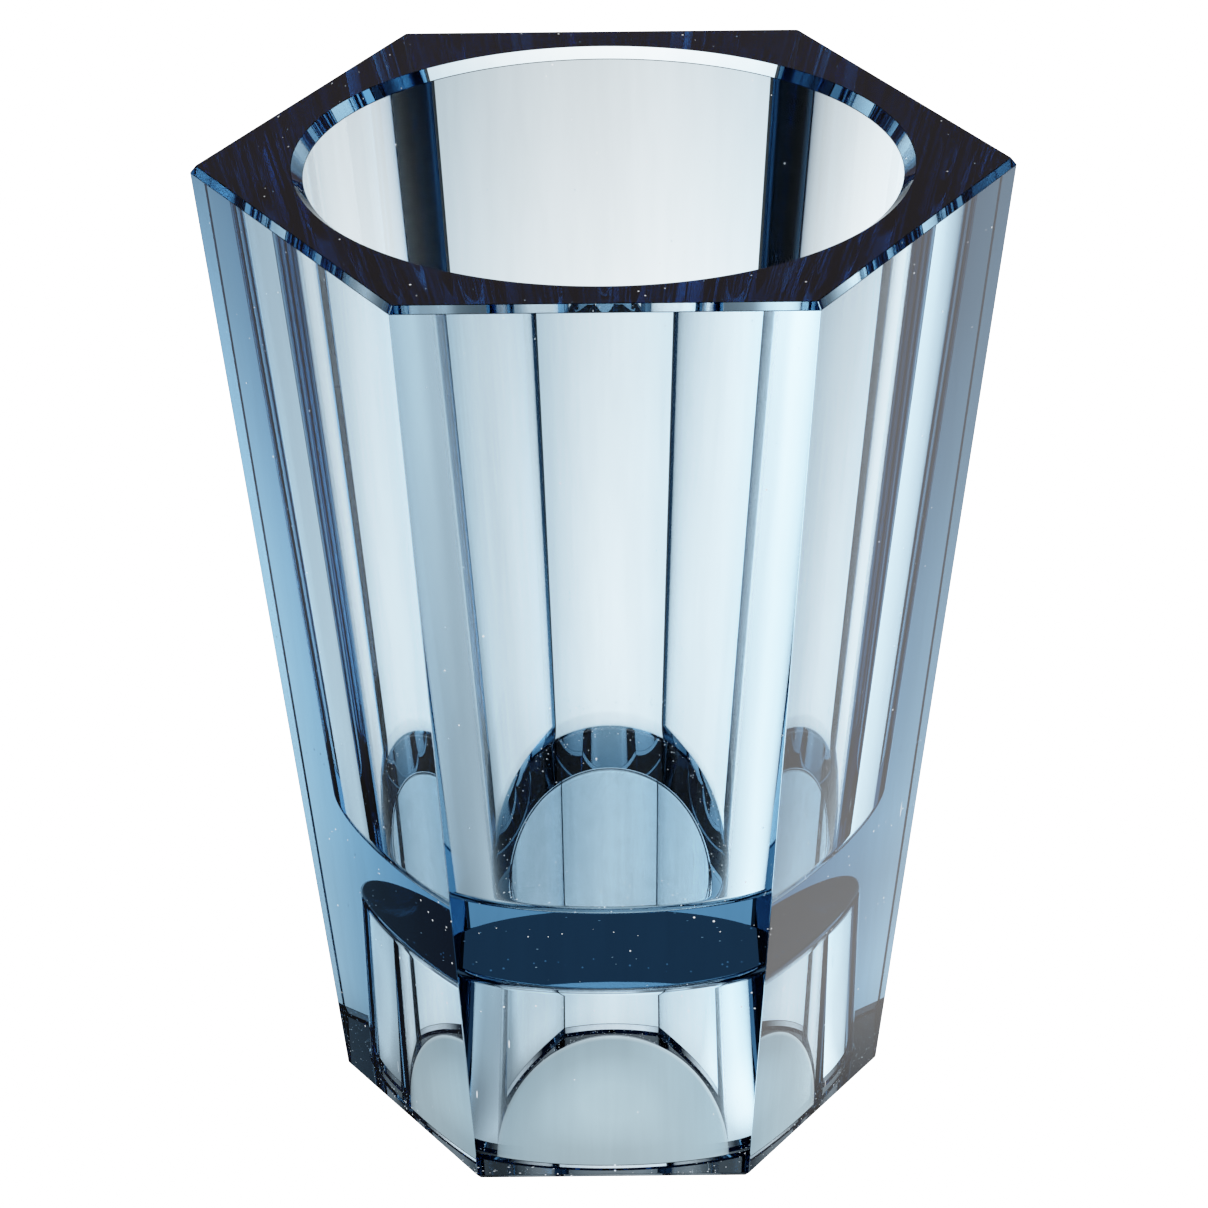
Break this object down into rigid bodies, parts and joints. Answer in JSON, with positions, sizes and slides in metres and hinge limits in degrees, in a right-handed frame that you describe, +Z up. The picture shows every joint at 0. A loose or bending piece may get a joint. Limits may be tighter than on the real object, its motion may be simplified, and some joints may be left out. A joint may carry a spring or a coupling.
{
  "type": "vase",
  "caption": "Heavy cut crystal vase: flared hexagonal block with bevelled edges, a round tapered bore with a chamfered mouth, and a foot hollowed from below by a round recess.",
  "frame": {"origin": "centre of the foot, on the surface that the vase stands on", "axes": "+Z up along the bore, -Y towards one of the six flat faces, +X towards a vertical edge"},
  "size_m": [0.1602, 0.1388, 0.2],
  "materials": {
    "crystal": "cut and polished crystal, steel blue in the mass"
  },
  "bodies": {
    "root": {"crystal_body": "crystal"}
  },
  "joints": []
}
